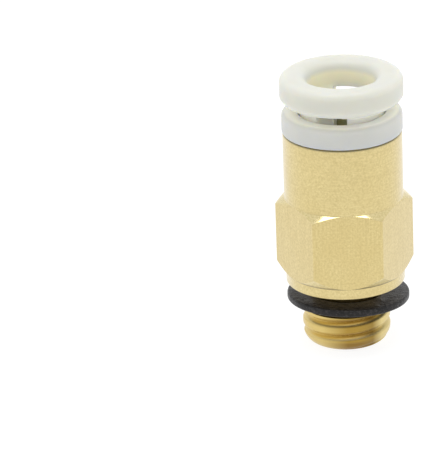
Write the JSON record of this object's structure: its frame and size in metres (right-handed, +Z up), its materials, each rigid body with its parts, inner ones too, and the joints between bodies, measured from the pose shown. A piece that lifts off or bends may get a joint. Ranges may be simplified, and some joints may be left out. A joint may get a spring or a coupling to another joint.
{
  "type": "push to connect fitting",
  "caption": "Straight male push to connect fitting: brass body with thread and hexagon, loose rubber gasket, resin seat ring and sliding release button over a spring chuck.",
  "frame": {"origin": "centre of the thread's end face, which is the fitting's lowest face", "axes": "+Z up along the fitting's axis from the thread to the release button; -Y is the outward normal of one flat of the hexagon"},
  "size_m": [0.0092, 0.0082, 0.0189],
  "materials": {
    "brass": "satin, turned",
    "gasket_rubber": "satin",
    "seal_rubber": "matte",
    "guide_brass": "turned",
    "spring_steel": "pressed sheet",
    "seat_resin": "moulded, satin",
    "button_resin": "moulded, satin"
  },
  "bodies": {
    "fitting_body": {"body": "brass", "tube_seal": "seal_rubber", "guide_ring": "guide_brass", "chuck_ring": "spring_steel", "seat_ring": "seat_resin"},
    "release_button": {"release_button": "button_resin"},
    "gasket": {"gasket": "gasket_rubber"},
    "claw_1": {"claw_1": "spring_steel"},
    "claw_2": {"claw_2": "spring_steel"},
    "claw_3": {"claw_3": "spring_steel"},
    "claw_4": {"claw_4": "spring_steel"},
    "claw_5": {"claw_5": "spring_steel"},
    "claw_6": {"claw_6": "spring_steel"},
    "claw_7": {"claw_7": "spring_steel"},
    "claw_8": {"claw_8": "spring_steel"}
  },
  "joints": [
    {"name": "release_slide", "type": "slide", "parent": "fitting_body", "child": "release_button", "axis": [0, 0, -1], "range_m": [0, 0.00065], "stiffness_N_per_m": 500},
    {"name": "gasket_slide", "type": "slide", "parent": "fitting_body", "child": "gasket", "axis": [0, 0, 1], "range_m": [0, 0.00065]},
    {"name": "claw_1_bend", "type": "hinge", "parent": "fitting_body", "child": "claw_1", "pos_m": [0.00023, -0.00274, 0.01295], "axis": [-0.9966, -0.0819, 0], "range_deg": [0, 23]},
    {"name": "claw_2_bend", "type": "hinge", "parent": "fitting_body", "child": "claw_2", "pos_m": [0.0021, -0.00178, 0.01295], "axis": [-0.6468, -0.7627, 0], "range_deg": [0, 23]},
    {"name": "claw_3_bend", "type": "hinge", "parent": "fitting_body", "child": "claw_3", "pos_m": [0.00274, 0.00023, 0.01295], "axis": [0.0819, -0.9966, 0], "range_deg": [0, 23]},
    {"name": "claw_4_bend", "type": "hinge", "parent": "fitting_body", "child": "claw_4", "pos_m": [0.00178, 0.0021, 0.01295], "axis": [0.7627, -0.6468, 0], "range_deg": [0, 23]},
    {"name": "claw_5_bend", "type": "hinge", "parent": "fitting_body", "child": "claw_5", "pos_m": [-0.00023, 0.00274, 0.01295], "axis": [0.9966, 0.0819, 0], "range_deg": [0, 23]},
    {"name": "claw_6_bend", "type": "hinge", "parent": "fitting_body", "child": "claw_6", "pos_m": [-0.0021, 0.00178, 0.01295], "axis": [0.6468, 0.7627, 0], "range_deg": [0, 23]},
    {"name": "claw_7_bend", "type": "hinge", "parent": "fitting_body", "child": "claw_7", "pos_m": [-0.00274, -0.00023, 0.01295], "axis": [-0.0819, 0.9966, 0], "range_deg": [0, 23]},
    {"name": "claw_8_bend", "type": "hinge", "parent": "fitting_body", "child": "claw_8", "pos_m": [-0.00178, -0.0021, 0.01295], "axis": [-0.7627, 0.6468, 0], "range_deg": [0, 23]}
  ],
  "couplings": [
    {"joint": "claw_1_bend", "follows": "release_slide", "rad_per_m": 605.05},
    {"joint": "claw_2_bend", "follows": "release_slide", "rad_per_m": 605.05},
    {"joint": "claw_3_bend", "follows": "release_slide", "rad_per_m": 605.05},
    {"joint": "claw_4_bend", "follows": "release_slide", "rad_per_m": 605.05},
    {"joint": "claw_5_bend", "follows": "release_slide", "rad_per_m": 605.05},
    {"joint": "claw_6_bend", "follows": "release_slide", "rad_per_m": 605.05},
    {"joint": "claw_7_bend", "follows": "release_slide", "rad_per_m": 605.05},
    {"joint": "claw_8_bend", "follows": "release_slide", "rad_per_m": 605.05}
  ]
}
